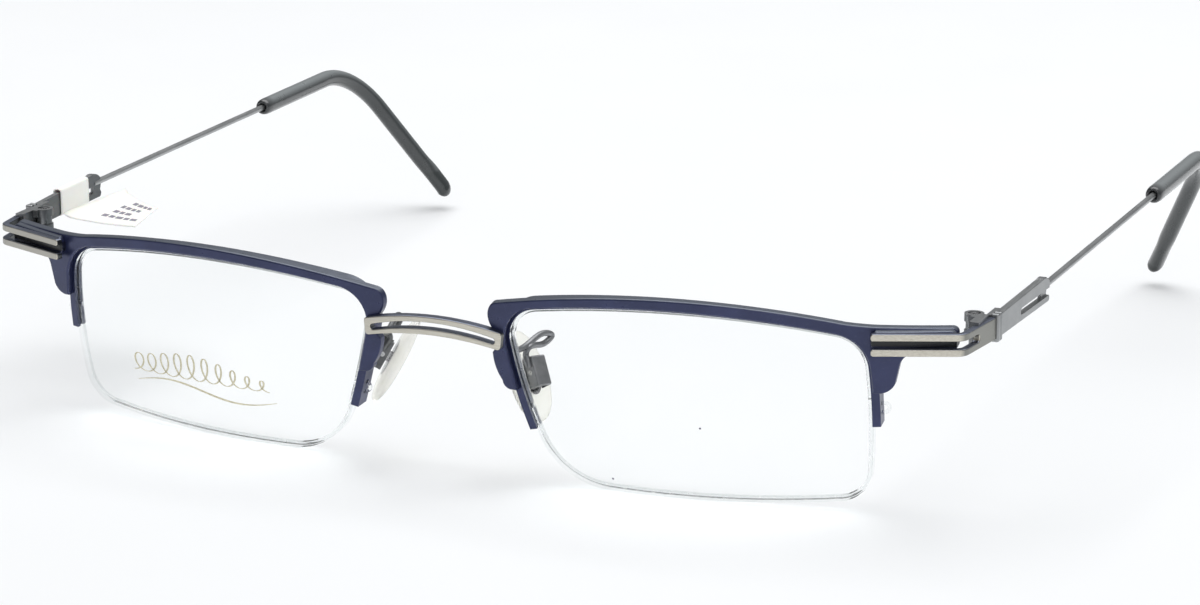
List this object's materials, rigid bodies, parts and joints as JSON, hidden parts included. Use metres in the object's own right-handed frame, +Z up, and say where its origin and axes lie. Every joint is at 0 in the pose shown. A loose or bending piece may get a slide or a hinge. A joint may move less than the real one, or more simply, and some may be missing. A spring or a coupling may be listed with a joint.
{
  "type": "half-rim eyeglasses",
  "caption": "Half-rim metal eyeglasses with slotted bridge and end pieces, folding wire temples, rocking nose pads, clear lenses held by a thread, and a blank paper tag.",
  "frame": {"origin": "middle of the footprint on the ground the glasses stand on, with the temples open", "axes": "+X to the wearer's left, +Y to the back along the temples, +Z up"},
  "size_m": [0.1492, 0.1354, 0.0283],
  "materials": {
    "lens": "clear polished demo lens",
    "nylon": "clear nylon line",
    "blue_lacquer": "satin indigo lacquer on steel",
    "satin_steel": "satin warm pewter",
    "gunmetal": "satin gunmetal",
    "screw_steel": "turned steel",
    "tip_plastic": "glossy acetate",
    "silicone": "translucent silicone",
    "paper": "coated paper label"
  },
  "bodies": {
    "front": {"lens_left": "lens", "lens_right": "lens", "nylon_thread_left": "nylon", "nylon_thread_right": "nylon", "rim_liner_left": "nylon", "rim_liner_right": "nylon", "rim_left": "blue_lacquer", "rim_right": "blue_lacquer", "brow_plate_left": "blue_lacquer", "brow_plate_right": "blue_lacquer", "end_piece_left": "satin_steel", "end_piece_right": "satin_steel", "hinge_front_leaf_left": "gunmetal", "hinge_front_leaf_right": "gunmetal", "hinge_screw_left": "screw_steel", "hinge_screw_right": "screw_steel", "pad_arm_left": "gunmetal", "pad_arm_right": "gunmetal", "pad_box_left": "gunmetal", "pad_box_right": "gunmetal", "pad_screw_left": "screw_steel", "pad_screw_right": "screw_steel", "bridge": "satin_steel"},
    "temple_left": {"temple_plate_left": "gunmetal", "hinge_temple_leaf_left": "gunmetal", "temple_wire_left": "gunmetal", "temple_tip_left": "tip_plastic"},
    "temple_right": {"temple_plate_right": "gunmetal", "hinge_temple_leaf_right": "gunmetal", "temple_wire_right": "gunmetal", "temple_tip_right": "tip_plastic", "size_tag_band": "paper", "size_tag_flag": "paper"},
    "pad_left": {"nose_pad_left": "silicone", "pad_insert_left": "screw_steel"},
    "pad_right": {"nose_pad_right": "silicone", "pad_insert_right": "screw_steel"}
  },
  "joints": [
    {"name": "temple_left_fold", "type": "hinge", "parent": "front", "child": "temple_left", "pos_m": [0.0695, -0.0504, 0.02466], "axis": [0, 0, 1], "range_deg": [0, 89]},
    {"name": "temple_right_fold", "type": "hinge", "parent": "front", "child": "temple_right", "pos_m": [-0.0695, -0.0504, 0.02466], "axis": [0, 0, -1], "range_deg": [0, 83.5], "deforming": ["size_tag_flag"]},
    {"name": "pad_left_rock", "type": "hinge", "parent": "front", "child": "pad_left", "pos_m": [0.01158, -0.05903, 0.01386], "axis": [-0.4676, -0.8794, 0.0893], "range_deg": [-8, 8]},
    {"name": "pad_right_rock", "type": "hinge", "parent": "front", "child": "pad_right", "pos_m": [-0.01158, -0.05903, 0.01386], "axis": [0.4676, -0.8794, 0.0893], "range_deg": [-8, 8]}
  ]
}
